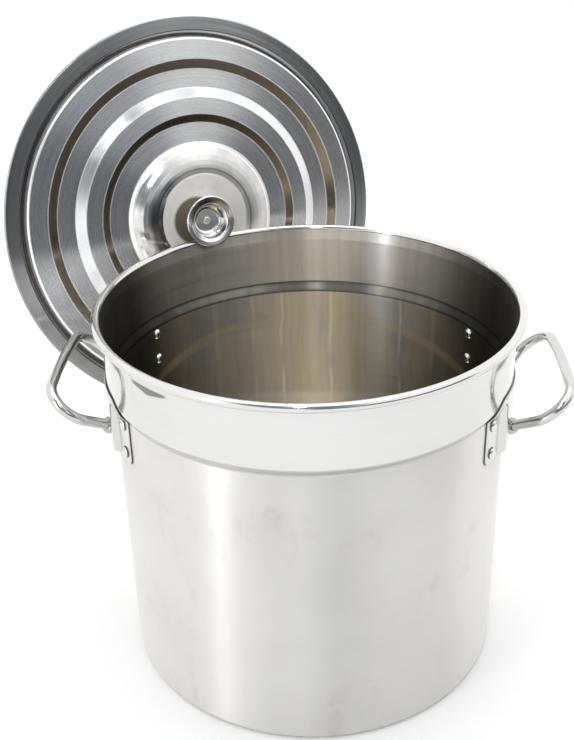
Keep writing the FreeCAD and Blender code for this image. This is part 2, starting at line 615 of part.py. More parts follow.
screw_seat = kb + ks
shank = doc.addObject("Part::Cylinder", "screw_shank_rod")
bind(shank, "Radius", D("screw_shank"))
bind(shank, "Height", D("screw_length") + 0.2)
shank.Placement.Base.z = screw_seat.value - VALUES["screw_length"]
shank.setExpression("Placement.Base.z", (screw_seat - D("screw_length")).text)
head = doc.addObject("Part::Ellipsoid", "screw_pan")
bind(head, "Radius1", D("screw_head_rise"))
bind(head, "Radius2", D("screw_head"))
head.Angle1 = 0.0
head.Angle2 = 90.0
head.Placement.Base.z = screw_seat.value
head.setExpression("Placement.Base.z", screw_seat.text)
screw_fuse = doc.addObject("Part::MultiFuse", "screw_blank")
screw_fuse.Shapes = [shank, head]
slots = []
for i in range(2):
    slot = doc.addObject("Part::Box", "screw_slot_%d" % i)
    slot.Length, slot.Width, slot.Height = 4.4, 0.9, 4.0
    c = FreeCAD.Rotation(FreeCAD.Vector(0, 0, 1), 20.0 + 90.0 * i)
    slot.Placement = FreeCAD.Placement(c.multVec(FreeCAD.Vector(-2.2, -0.45, 0)) +
                                       FreeCAD.Vector(0, 0, screw_seat.value + 0.9), c)
    slots.append(slot)
cross = doc.addObject("Part::MultiFuse", "screw_cross")
cross.Shapes = slots
screw = doc.addObject("Part::Cut", "screw_cut")
screw.Base, screw.Tool = screw_fuse, cross
screw.Label = "knob_screw"
doc.recompute()
hang_up(screw)

under = D("plateau_rise") - D("lid_sheet")
washer_body, f = turned_body("knob_washer_body", [
    (D("screw_clear"), under - D("washer_thick")), (D("washer_radius"), under - D("washer_thick")),
    (D("washer_radius"), under), (D("screw_clear"), under)])
washer_body.Label = "knob_washer"
hang_up(washer_body)

prism = doc.addObject("Part::Prism", "nut_blank")
prism.Polygon = 6
bind(prism, "Circumradius", D("nut_corner"))
bind(prism, "Height", D("nut_thick"))
nut_low = under - D("washer_thick") - D("nut_thick")
prism.Placement.Base.z = nut_low.value
prism.setExpression("Placement.Base.z", nut_low.text)
thread = doc.addObject("Part::Cylinder", "nut_bore")
bind(thread, "Radius", D("screw_shank"))
thread.Height = 40.0
nut = doc.addObject("Part::Cut", "nut_cut")
nut.Base, nut.Tool = prism, thread
nut.Label = "knob_nut"
doc.recompute()
hang_up(nut)

doc.recompute()

# ---------------------------------------------------------------- checks and output
NODES = ["pot_shell", "left_bracket", "right_bracket", "left_handle", "right_handle",
         "left_front_collar", "left_rear_collar", "right_front_collar", "right_rear_collar",
         "left_front_rivets", "left_rear_rivets", "right_front_rivets", "right_rear_rivets",
         "lid_pressing", "knob_spacer", "lid_knob", "knob_screw", "knob_washer", "knob_nut"]
bad = [o.Name + " " + ",".join(o.State) for o in doc.Objects if "Invalid" in o.State or "Error" in o.State]
if bad:
    raise RuntimeError("objects not computed: " + "; ".join(bad))
found = {}
for obj in doc.Objects:
    if obj.Label in NODES:
        found[obj.Label] = obj
os.makedirs("parts", exist_ok=True)
for node in NODES:
    obj = found[node]
    shape = obj.Shape
    wanted = 2 if node.endswith("_rivets") else 1
    if shape.isNull() or not shape.isValid() or shape.Volume <= 0 or len(shape.Solids) != wanted:
        raise RuntimeError(node + " is not the solid it should be")
for node in NODES:
    shape = found[node].Shape
    box = shape.BoundBox
    print("%-22s solids %d volume %9.1f  x %7.1f %7.1f  y %7.1f %7.1f  z %7.1f %7.1f" % (
        node, len(shape.Solids), shape.Volume, box.XMin, box.XMax, box.YMin, box.YMax, box.ZMin, box.ZMax))
    shape.exportStep("parts/%s.step" % node)
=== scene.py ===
import bpy, math
import numpy as np
from mathutils import Vector, Matrix


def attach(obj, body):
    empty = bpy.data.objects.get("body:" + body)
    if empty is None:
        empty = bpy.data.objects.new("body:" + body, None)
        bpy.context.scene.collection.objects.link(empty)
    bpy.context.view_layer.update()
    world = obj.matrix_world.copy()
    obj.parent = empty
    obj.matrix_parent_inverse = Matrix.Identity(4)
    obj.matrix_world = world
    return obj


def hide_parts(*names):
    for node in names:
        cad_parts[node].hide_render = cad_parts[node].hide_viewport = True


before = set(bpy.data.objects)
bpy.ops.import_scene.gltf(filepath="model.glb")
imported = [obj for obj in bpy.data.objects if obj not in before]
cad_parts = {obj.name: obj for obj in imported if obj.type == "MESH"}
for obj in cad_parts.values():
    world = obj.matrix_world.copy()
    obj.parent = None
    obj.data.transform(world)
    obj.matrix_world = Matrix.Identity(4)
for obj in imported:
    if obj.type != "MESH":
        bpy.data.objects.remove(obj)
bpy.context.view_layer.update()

MM = 0.001
scene = bpy.context.scene
scene.view_settings.view_transform = "Standard"
scene.view_settings.look = "None"
scene.view_settings.exposure = 0.0
scene.view_settings.gamma = 1.0
scene.cycles.glossy_bounces = 10
scene.cycles.max_bounces = 14
scene.cycles.sample_clamp_indirect = 6.0

# ------------------------------------------------------------------ camera
cam_data = bpy.data.cameras.new("camera")
cam_data.sensor_width = 36.0
cam_data.lens = 1073.4 / 740.0 * 36.0
cam_data.clip_start = 0.01
cam = bpy.data.objects.new("camera", cam_data)
scene.collection.objects.link(cam)
yaw, pitch, roll = -0.0235, -0.4884, -0.0277
fwd = Vector((math.sin(yaw) * math.cos(pitch), math.cos(yaw) * math.cos(pitch), math.sin(pitch)))
r0 = Vector((math.cos(yaw), -math.sin(yaw), 0.0))
u0 = r0.cross(fwd)
right = math.cos(roll) * r0 + math.sin(roll) * u0
up = -math.sin(roll) * r0 + math.cos(roll) * u0
turn = Matrix.Rotation(math.radians(2.0), 3, "Z")
m = Matrix((turn @ right, turn @ up, -(turn @ fwd))).transposed().to_4x4()
m.translation = turn @ Vector((0.0, -0.82967, 0.70810))
cam.matrix_world = m
scene.camera = cam


# ------------------------------------------------------------------ mesh helpers
def new_object(name, verts, faces, body, mats=(), mat_index=None, smooth=True, matrix=None):
    me = bpy.data.meshes.new(name)
    if matrix is not None:
        verts = [matrix @ Vector(v) for v in verts]
    me.from_pydata([tuple(v) for v in verts], [], [tuple(f) for f in faces])
    me.validate()
    for mt in mats:
        me.materials.append(mt)
    if mat_index is not None:
        me.polygons.foreach_set("material_index", np.asarray(mat_index, dtype=np.int32))
    me.polygons.foreach_set("use_smooth", [smooth] * len(me.polygons))
    me.update()
    ob = bpy.data.objects.new(name, me)
    scene.collection.objects.link(ob)
    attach(ob, body)
    return ob


def rounded(points, seg=5, keep=0.35):
    """A run of straight edges with its corners rounded: points are (radius, height, corner radius) in mm.
    Extra points beside each corner keep the flats flat when shaded smooth."""
    out = []
    n = len(points)
    for i, p in enumerate(points):
        x, y, rad = p
        if i == 0 or i == n - 1 or rad <= 0:
            out.append((x, y))
            continue
        a = np.array(points[i - 1][:2], float)
        b = np.array((x, y), float)
        c = np.array(points[i + 1][:2], float)
        u, v = a - b, c - b
        lu, lv = np.linalg.norm(u), np.linalg.norm(v)
        u, v = u / lu, v / lv
        ang = math.acos(max(-1, min(1, float(u @ v))))
        if ang > math.pi - 0.01:
            out.append((x, y))
            continue
        t = min(rad / math.tan(ang / 2), 0.46 * lu, 0.46 * lv)
        rr = t * math.tan(ang / 2)
        centre = b + (u + v) / np.linalg.norm(u + v) * (rr / math.sin(ang / 2))
        s, e = b + u * t, b + v * t
        if lu - t > 1.2:
            out.append(tuple(s + u * min(keep, (lu - t) * 0.3)))
        a0 = math.atan2(s[1] - centre[1], s[0] - centre[0])
        a1 = math.atan2(e[1] - centre[1], e[0] - centre[0])
        d = (a1 - a0 + math.pi) % (2 * math.pi) - math.pi
        for k in range(seg + 1):
            w = a0 + d * k / seg
            out.append((centre[0] + rr * math.cos(w), centre[1] + rr * math.sin(w)))
        if lv - t > 1.2:
            out.append(tuple(e + v * min(keep, (lv - t) * 0.3)))
    return out


def split_long(run, step):
    """Adds points so that no edge of the run is much longer than step."""
    out = [run[0]]
    for a, b in zip(run[:-1], run[1:]):
        k = max(1, int(math.ceil(math.hypot(b[0] - a[0], b[1] - a[1]) / step)))
        for j in range(1, k + 1):
            out.append((a[0] + (b[0] - a[0]) * j / k, a[1] + (b[1] - a[1]) * j / k))
    return out


def lathe(name, run, body, n=192, closed=False, mats=(), zone=None, matrix=None, wobble=None):
    """Turns a run of (radius, height) in mm about Z. zone(index, point, next point) picks the material of each band."""
    run = [(max(0.0, r), z) for r, z in run]
    verts, rings = [], []
    for r, z in run:
        if r < 1e-6:
            rings.append([len(verts)])
            verts.append((0, 0, z * MM))
        else:
            ids = []
            for k in range(n):
                t = 2 * math.pi * k / n
                rr = r + (wobble(t, r, z) if wobble else 0.0)
                ids.append(len(verts))
                verts.append((rr * MM * math.cos(t), rr * MM * math.sin(t), z * MM))
            rings.append(ids)
    faces, mat = [], []
    pairs = list(zip(range(len(rings) - 1), range(1, len(rings))))
    if closed:
        pairs.append((len(rings) - 1, 0))
    for i, j in pairs:
        a, b = rings[i], rings[j]
        mi = zone(i, run[i], run[j]) if zone else 0
        if len(a) == 1 and len(b) == 1:
            continue
        for k in range(n):
            k2 = (k + 1) % n
            if len(a) == 1:
                faces.append((a[0], b[k2], b[k]))
            elif len(b) == 1:
                faces.append((a[k], a[k2], b[0]))
            else:
                faces.append((a[k], a[k2], b[k2], b[k]))
            mat.append(mi)
    return new_object(name, verts, faces, body, mats, mat, True, matrix)


def tube(name, centres, radius, body, n=28, mats=(), ends=None, caps=False):
    """A round rod along centre points in mm. ends(point, direction) may move the end rings' points."""
    pts = [np.array(p, float) for p in centres]
    tang = []
    for i in range(len(pts)):
        a, b = pts[max(0, i - 1)], pts[min(len(pts) - 1, i + 1)]
        tang.append((b - a) / np.linalg.norm(b - a))
    side = np.cross(tang[0], (0.0, 0.0, 1.0))
    side /= np.linalg.norm(side)
    verts, faces = [], []
    for i, (p, t) in enumerate(zip(pts, tang)):
        side = side - t * float(side @ t)
        side /= np.linalg.norm(side)
        up_ = np.cross(t, side)
        rad = radius[i] if hasattr(radius, "__len__") else radius
        for k in range(n):
            w = 2 * math.pi * k / n
            q = p + rad * (math.cos(w) * side + math.sin(w) * up_)
            if ends is not None and i in (0, len(pts) - 1):
                q = ends(q, t)
            verts.append(q * MM)
    for i in range(len(pts) - 1):
        for k in range(n):
            k2 = (k + 1) % n
            faces.append((i * n + k, i * n + k2, (i + 1) * n + k2, (i + 1) * n + k))
    if caps:
        faces.append(tuple(range(n))[::-1])
        faces.append(tuple((len(pts) - 1) * n + k for k in range(n)))
    return new_object(name, verts, faces, body, mats, None, True)


# ------------------------------------------------------------------ the lid's own frame
az, lean = math.radians(-61.0), math.radians(10.4)
facing = Vector((math.cos(az) * math.cos(lean), math.sin(az) * math.cos(lean), math.sin(lean)))
upward = Vector((-math.cos(az) * math.sin(lean), -math.sin(az) * math.sin(lean), math.cos(lean)))
sideways = upward.cross(facing)
hang = Matrix((sideways, upward, facing)).transposed().to_4x4()
hang.translation = Vector((-0.11215, 0.1718, 0.3462))


# ------------------------------------------------------------------ material helpers
class Nodes:
    def __init__(self, name, tilted=False):
        self.mat = bpy.data.materials.new(name)
        self.mat.use_nodes = True
        self.nt = self.mat.node_tree
        self.nt.nodes.clear()
        self.out = self.nt.nodes.new("ShaderNodeOutputMaterial")
        self.bsdf = self.nt.nodes.new("ShaderNodeBsdfPrincipled")
        self.nt.links.new(self.bsdf.outputs[0], self.out.inputs[0])
        tc = self.nt.nodes.new("ShaderNodeTexCoord")
        self.pos = tc.outputs["Object"]
        self.tilted = tilted
        if tilted:
            # positions in the lid's own frame: its axis is Z
            mp = self.nt.nodes.new("ShaderNodeMapping")
            mp.vector_type = "TEXTURE"
            mp.inputs["Location"].default_value = hang.translation
            mp.inputs["Rotation"].default_value = hang.to_euler("XYZ")
            self.nt.links.new(tc.outputs["Object"], mp.inputs["Vector"])
            self.world_pos = self.pos
            self.pos = mp.outputs[0]

    def link(self, a, b):
        self.nt.links.new(a, b)

    def put(self, sock, v):
        if hasattr(v, "node"):
            self.nt.links.new(v, sock)
        else:
            sock.default_value = v

    def scaled(self, sx, sy, sz, src=None):
        mp = self.nt.nodes.new("ShaderNodeMapping")
        mp.inputs["Scale"].default_value = (sx, sy, sz)
        self.link(src or self.pos, mp.inputs["Vector"])
        return mp.outputs[0]

    def noise(self, vec, scale=1.0, detail=3.0, rough=0.55, dims="3D"):
        nz = self.nt.nodes.new("ShaderNodeTexNoise")
        nz.noise_dimensions = dims
        nz.inputs["Scale"].default_value = scale
        nz.inputs["Detail"].default_value = detail
        nz.inputs["Roughness"].default_value = rough
        if vec is not None:
            self.link(vec, nz.inputs["Vector"] if dims != "1D" else nz.inputs["W"])
        return nz.outputs[0]

    def math(self, op, a, b=0.0, c=0.0, clamp=False):
        n = self.nt.nodes.new("ShaderNodeMath")
        n.operation = op
        n.use_clamp = clamp
        for s, v in zip(n.inputs, (a, b, c)):
            self.put(s, v)
        return n.outputs[0]

    def map(self, v, a, b, c, d, smooth=False):
        n = self.nt.nodes.new("ShaderNodeMapRange")
        n.interpolation_type = "SMOOTHSTEP" if smooth else "LINEAR"
        self.put(n.inputs["Value"], v)
        for key, val in (("From Min", a), ("From Max", b), ("To Min", c), ("To Max", d)):
            self.put(n.inputs[key], val)
        return n.outputs[0]

    def mix(self, fac, a, b):
        n = self.nt.nodes.new("ShaderNodeMix")
        n.data_type = "RGBA"
        self.put(n.inputs[0], fac)
        for s, v in ((n.inputs[6], a), (n.inputs[7], b)):
            if hasattr(v, "node"):
                self.link(v, s)
            else:
                s.default_value = (*v, 1.0)
        return n.outputs[2]

    def xyz(self, src=None):
        n = self.nt.nodes.new("ShaderNodeSeparateXYZ")
        self.link(src or self.pos, n.inputs[0])
        return n.outputs

    def join(self, x, y, z):
        n = self.nt.nodes.new("ShaderNodeCombineXYZ")
        for s, v in zip(n.inputs, (x, y, z)):
            self.put(s, v)
        return n.outputs[0]

    def bump(self, height, strength, distance, normal=None):
        n = self.nt.nodes.new("ShaderNodeBump")
        n.inputs["Strength"].default_value = strength
        n.inputs["Distance"].default_value = distance
        self.link(height, n.inputs["Height"])
        if normal is not None:
            self.link(normal, n.inputs["Normal"])
        return n.outputs[0]

    def around(self):
        """Direction that runs round the lid's axis at each point."""
        d = self.nt.nodes.new("ShaderNodeVectorMath")
        d.operation = "SUBTRACT"
        self.link(self.world_pos, d.inputs[0])
        d.inputs[1].default_value = hang.translation
        c = self.nt.nodes.new("ShaderNodeVectorMath")
        c.operation = "CROSS_PRODUCT"
        c.inputs[0].default_value = facing
        self.link(d.outputs[0], c.inputs[1])
        nrm = self.nt.nodes.new("ShaderNodeVectorMath")
        nrm.operation = "NORMALIZE"
        self.link(c.outputs[0], nrm.inputs[0])
        return nrm.outputs[0]

    def tangent(self, axis="Z"):
        n = self.nt.nodes.new("ShaderNodeTangent")
        n.direction_type = "RADIAL"
        n.axis = axis
        return n.outputs[0]


def steel(name, tone_a, tone_b, rough, rough_var=0.05, aniso=0.0, rotation=0.0, brush=None, brush_depth=0.00001,
          brush_tone=0.0, wave=0.0, wave_scale=14.0, stain=0.0, stain_tone=(0.42, 0.36, 0.28), scratch=0.0, tilted=False):
    k = Nodes(name, tilted)
    b = k.bsdf
    b.inputs["Metallic"].default_value = 1.0
    cloud = k.noise(k.scaled(1, 1, 1), 9.0, 4.0)
    colour = k.mix(k.map(cloud, 0.35, 0.65, 0.0, 1.0), tone_a, tone_b)
    if stain > 0:
        spots = k.noise(k.scaled(1, 1, 0.7), 23.0, 5.0, 0.6)
        small = k.noise(k.scaled(1, 1, 1), 95.0, 3.0, 0.6)
        mask = k.math("MULTIPLY", k.map(spots, 0.56, 0.74, 0.0, stain, True), k.map(small, 0.38, 0.7, 0.25, 1.0))
        colour = k.mix(mask, colour, stain_tone)
    if brush == "ring":
        x, y, z = k.xyz()
        rad = k.math("SQRT", k.math("ADD", k.math("MULTIPLY", x, x), k.math("MULTIPLY", y, y)))
        vec = k.join(k.math("MULTIPLY", rad, 650.0), k.math("MULTIPLY", x, 5.0), k.math("MULTIPLY", y, 5.0))
        lines = k.noise(vec, 1.0, 3.0, 0.7)
    elif brush == "level":
        lines = k.noise(k.scaled(5, 5, 700), 1.0, 3.0, 0.7)
    elif brush == "upright":
        lines = k.noise(k.scaled(520, 520, 5), 1.0, 4.0, 0.65)
    else:
        lines = k.noise(k.scaled(1, 1, 1), 240.0, 4.0, 0.6)
    if brush_tone > 0:
        dark = k.nt.nodes.new("ShaderNodeMix")
        dark.data_type = "RGBA"
        dark.blend_type = "MULTIPLY"
        dark.inputs[0].default_value = 1.0
        k.link(colour, dark.inputs[6])
        k.link(k.map(lines, 0.25, 0.75, 1.0 - brush_tone, 1.0), dark.inputs[7])
        colour = dark.outputs[2]
    k.link(colour, b.inputs["Base Color"])
    r_ = k.math("ADD", k.map(lines, 0.25, 0.75, rough - rough_var, rough + rough_var),
                k.map(cloud, 0.3, 0.7, -0.4 * rough_var, 0.4 * rough_var))
    k.link(r_, b.inputs["Roughness"])
    normal = k.bump(lines, 0.35, brush_depth)
    if wave > 0:
        soft = k.noise(k.scaled(1, 1, 1), wave_scale, 1.0, 0.4)
        normal = k.bump(soft, 1.0, wave, normal)
    if scratch > 0:
        sc = k.noise(k.scaled(60, 9, 14), 3.0, 2.0, 0.5)
        sc2 = k.map(k.math("ABSOLUTE", k.math("SUBTRACT", sc, 0.5)), 0.0, 0.012, 1.0, 0.0)
        normal = k.bump(sc2, 0.3 * scratch, 0.00004, normal)
    k.link(normal, b.inputs["Normal"])
    if aniso > 0:
        b.inputs["Anisotropic"].default_value = aniso
        b.inputs["Anisotropic Rotation"].default_value = rotation
        k.link(k.around() if tilted else k.tangent(), b.inputs["Tangent"])
    return k.mat


SAT_A, SAT_B = (0.77, 0.76, 0.74), (0.72, 0.708, 0.685)
body_mat = steel("body_satin", SAT_A, SAT_B, 0.42, 0.04, aniso=0.93, rotation=0.25, brush="level", brush_depth=0.00001,
                 brush_tone=0.04, wave=0.0006, wave_scale=6.0, stain=0.55, stain_tone=(0.58, 0.52, 0.43))
collar_mat = steel("collar_polish", (0.70, 0.695, 0.685), (0.67, 0.665, 0.655), 0.10, 0.03, brush="level",
                   brush_depth=0.000004, brush_tone=0.04, wave=0.0004, wave_scale=9.0)


def inside_steel(name="inside_spun", cut=1.0):
    """Spun inner wall with painted reflections: pale along the middle of front and back, painted nearly black towards
    the handles, with painted upright reflection streaks, faint painted reflection arcs and a golden painted reflection
    tint below the ledge."""
    k = Nodes(name)
    b = k.bsdf
    b.inputs["Metallic"].default_value = 1.0
    x, y, z = k.xyz()
    ay = k.math("ABSOLUTE", y)
    deg = k.math("MULTIPLY", k.math("ARCTAN2", x, ay), 57.29578)
    off = k.math("ABSOLUTE", deg)
    warp = k.noise(k.scaled(7, 7, 16), 1.0, 2.0)
    wdeg = k.math("ADD", deg, k.map(warp, 0.3, 0.7, -0.7, 0.7))
    below = k.map(z, 0.262, 0.272, 1.0, 0.0, True)
    # painted warm reflection: a golden tone below the ledge
    tone = k.mix(below, (0.95, 0.895, 0.80), (0.93, 0.835, 0.655))
    cloud = k.noise(k.join(k.math("MULTIPLY", deg, 0.075), k.math("MULTIPLY", z, 6.0), 0.0), 1.0, 3.0)
    tone = k.mix(k.math("MULTIPLY", k.map(cloud, 0.45, 0.68, 0.0, 0.8, True), below), tone, (0.68, 0.665, 0.645))
    # painted shade: the tone falls nearly to black towards the handles, broken up by painted reflection streaks
    fall = k.map(off, 24.0, 72.0, cut, 0.08 * cut, True)
    streak = k.noise(k.join(k.math("MULTIPLY", wdeg, 0.15), 0.0, k.math("MULTIPLY", z, 1.2)), 1.0, 3.0, 0.6)
    level = k.math("MULTIPLY", fall, k.map(streak, 0.30, 0.70, 0.68, 1.04))
    # one painted highlight: a soft pale column on the upper band
    column = k.math("MULTIPLY", k.map(k.math("ABSOLUTE", k.math("SUBTRACT", wdeg, 21.5)), 0.5, 5.5, 0.8 * cut, 0.0, True),
                    k.map(z, 0.270, 0.285, 0.35, 1.0, True))
    black = k.mix(1.0, (0, 0, 0), (0.0, 0.0, 0.0))
    colour = k.mix(k.math("MINIMUM", level, 1.0), black, tone)
    colour = k.mix(column, colour, (1.0, 0.995, 0.98))
    # painted reflections: narrow bright upright lines below the ledge
    lines = None
    for centre, wide, strong in ((-21.0, 1.1, 0.75), (-11.1, 0.9, 0.95), (5.5, 0.9, 0.95), (30.9, 0.9, 0.75), (-35.0, 1.3, 0.3),
                                 (16.5, 1.6, 0.25), (44.0, 1.6, 0.25)):
        one = k.map(k.math("ABSOLUTE", k.math("SUBTRACT", wdeg, centre)), 0.0, wide, strong, 0.0, True)
        lines = one if lines is None else k.math("MAXIMUM", lines, one)
    gap = k.map(k.math("ABSOLUTE", k.math("SUBTRACT", z, 0.193)), 0.006, 0.022, 0.25, 1.0, True)
    lines = k.math("MULTIPLY", k.math("MULTIPLY", lines, below), gap)
    colour = k.mix(k.math("MULTIPLY", lines, cut), colour, (1.0, 0.93, 0.74))
    # painted reflections: a bowed band and the paler foot of the wall
    arc_z = k.math("SUBTRACT", 0.2415, k.math("MULTIPLY", k.math("MULTIPLY", deg, deg), 0.0000071))
    band = k.map(k.math("ABSOLUTE", k.math("SUBTRACT", z, arc_z)), 0.002, 0.0075, 0.45, 0.0, True)
    band = k.math("MULTIPLY", band, k.map(off, 8.0, 20.0, 0.2, 1.0, True))
    band = k.math("MULTIPLY", band, k.map(off, 50.0, 70.0, 1.0, 0.0, True))
    colour = k.mix(band, colour, (0.86, 0.70, 0.47))
    foot_z = k.math("ADD", 0.1515, k.math("MULTIPLY", k.math("MULTIPLY", deg, deg), 0.000011))
    foot = k.map(k.math("SUBTRACT", z, foot_z), -0.004, 0.003, 0.62, 0.0, True)
    foot = k.math("MULTIPLY", foot, k.map(off, 22.0, 42.0, 1.0, 0.0, True))
    colour = k.mix(foot, colour, (0.99, 0.94, 0.82))
    k.link(colour, b.inputs["Base Color"])
    lines2 = k.noise(k.scaled(5, 5, 700), 1.0, 3.0, 0.7)
    k.link(k.math("ADD", k.map(lines2, 0.25, 0.75, 0.31, 0.39), k.map(streak, 0.3, 0.7, 0.03, -0.03)), b.inputs["Roughness"])
    soft = k.noise(k.scaled(1, 1, 1), 11.0, 1.0, 0.4)
    k.link(k.bump(soft, 1.0, 0.0006, k.bump(lines2, 0.35, 0.00001)), b.inputs["Normal"])
    b.inputs["Anisotropic"].default_value = 0.94
    b.inputs["Anisotropic Rotation"].default_value = 0.25
    k.link(k.tangent(), b.inputs["Tangent"])
    return k.mat


inside_mat = inside_steel()
# painted shade: the ledge copy with cut 0.22 dims the wall tone, column and lines so the slanted ledge does not read as
# a bright band
ledge_mat = inside_steel("inside_ledge", 0.22)
floor_mat = steel("inside_floor", (0.64, 0.62, 0.58), (0.60, 0.57, 0.52), 0.22, 0.05, brush="ring", brush_tone=0.10, stain=0.5)


def lid_steel(name, dark, light, rough, aniso, right_tone=None, tone_cut=0.14, painted_knob_reflection=False, notch=False, metal=1.0):
    """Spun lid steel with painted light: a painted highlight wedge runs pale up from the middle, and painted shade
    darkens the tone away from it to both sides.
    """
    k = Nodes(name, True)
    b = k.bsdf
    b.inputs["Metallic"].default_value = 1.0
    x, y, z = k.xyz()
    rad = k.math("SQRT", k.math("ADD", k.math("MULTIPLY", x, x), k.math("MULTIPLY", y, y)))
    turn_ = k.math("ARCTAN2", x, y)
    vec = k.join(k.math("MULTIPLY", rad, 650.0), k.math("MULTIPLY", x, 5.0), k.math("MULTIPLY", y, 5.0))
    lines = k.noise(vec, 1.0, 3.0, 0.7)
    cloud = k.noise(k.scaled(1, 1, 1), 14.0, 3.0)
    jitter = k.noise(k.join(k.math("MULTIPLY", rad, 60.0), 0.0, 0.0), 1.0, 2.0)
    # painted highlight wedge up the middle with painted shade to both sides; right_tone paints a reflected tone over
    # the right side
    edge = k.math("ADD", k.math("ABSOLUTE", k.math("SUBTRACT", turn_, 0.15)), k.map(jitter, 0.3, 0.7, -0.05, 0.05))
    wedge = k.math("ADD", k.map(edge, 0.12, 0.56, 0.78, 0.0, True), k.map(edge, 0.3, 1.5, 0.22, 0.0, True))
    colour = k.mix(wedge, dark, light)
    if right_tone is not None:
        side = k.map(turn_, 0.5, 1.3, 0.0, 0.7, True)
        colour = k.mix(side, colour, right_tone)
    colour = k.mix(k.map(cloud, 0.35, 0.70, 0.0, 0.20), colour, (0.30, 0.30, 0.31))
    b.inputs["Metallic"].default_value = metal
    if notch:
        # painted reflection: a dark notch at about half past ten on the rising rings
        cut_ = k.map(k.math("ABSOLUTE", k.math("ADD", turn_, 0.80)), 0.04, 0.12, 0.75, 0.0, True)
        colour = k.mix(cut_, colour, (0.30, 0.30, 0.31))
        smear = k.map(k.math("ABSOLUTE", turn_), 0.03, 0.16, 0.45, 0.0, True)
        colour = k.mix(smear, colour, (0.45, 0.45, 0.47))
    # painted reflection: a dark brown ring of the knob's reflection, set off to the left, on the plateau
    if painted_knob_reflection:
        xs = k.math("ADD", x, 0.0085)
        rad_h = k.math("SQRT", k.math("ADD", k.math("MULTIPLY", xs, xs), k.math("MULTIPLY", y, y)))
        ring = k.map(rad_h, 0.0215, 0.0250, 0.92, 0.0, True)
        colour = k.mix(ring, colour, (0.11, 0.08, 0.05))
    spots = k.noise(k.scaled(1, 1, 1), 26.0, 5.0, 0.62)
    colour = k.mix(k.map(spots, 0.62, 0.76, 0.0, 0.25, True), colour, (0.45, 0.40, 0.33))
    fine = k.nt.nodes.new("ShaderNodeMix")
    fine.data_type = "RGBA"
    fine.blend_type = "MULTIPLY"
    fine.inputs[0].default_value = 1.0
    k.link(colour, fine.inputs[6])
    k.link(k.map(lines, 0.25, 0.75, 1.0 - tone_cut, 1.0), fine.inputs[7])
    k.link(fine.outputs[2], b.inputs["Base Color"])
    k.link(k.map(lines, 0.25, 0.75, rough - 0.03, rough + 0.03), b.inputs["Roughness"])
    k.link(k.bump(lines, 0.3, 0.000004), b.inputs["Normal"])
    b.inputs["Anisotropic"].default_value = aniso
    b.inputs["Anisotropic Rotation"].default_value = 0.25
    k.link(k.around(), b.inputs["Tangent"])
    return k.mat


# Each ring zone of the lid gets its own tones as painted light: painted shade on the flats, the flange and the groove,
# a painted brown reflection on the falling rings, and painted highlight on the rising rings and the ring edges.
lid_mat = lid_steel("lid_flat_rings", (0.50, 0.505, 0.525), (0.99, 0.99, 0.99), 0.27, 0.90, right_tone=(0.56, 0.55, 0.54), tone_cut=0.05)
fall_mat = lid_steel("lid_falling_rings", (0.34, 0.295, 0.22), (0.47, 0.405, 0.31), 0.20, 0.6, right_tone=(0.42, 0.34, 0.235), tone_cut=0.09)
rise_mat = lid_steel("lid_rising_rings", (0.90, 0.90, 0.91), (0.84, 0.84, 0.84), 0.26, 0.7, tone_cut=0.07, notch=True)
line_mat = steel("lid_ring_edges", tilted=True, tone_a=(0.97, 0.965, 0.95), tone_b=(0.90, 0.89, 0.87), rough=0.34, rough_var=0.05)
flange_mat = lid_steel("lid_flange", (0.36, 0.36, 0.365), (0.74, 0.74, 0.74), 0.22, 0.80, tone_cut=0.12)
groove_mat = steel("lid_groove", tilted=True, tone_a=(0.13, 0.125, 0.12), tone_b=(0.08, 0.078, 0.075), rough=0.30, rough_var=0.06, brush="ring")


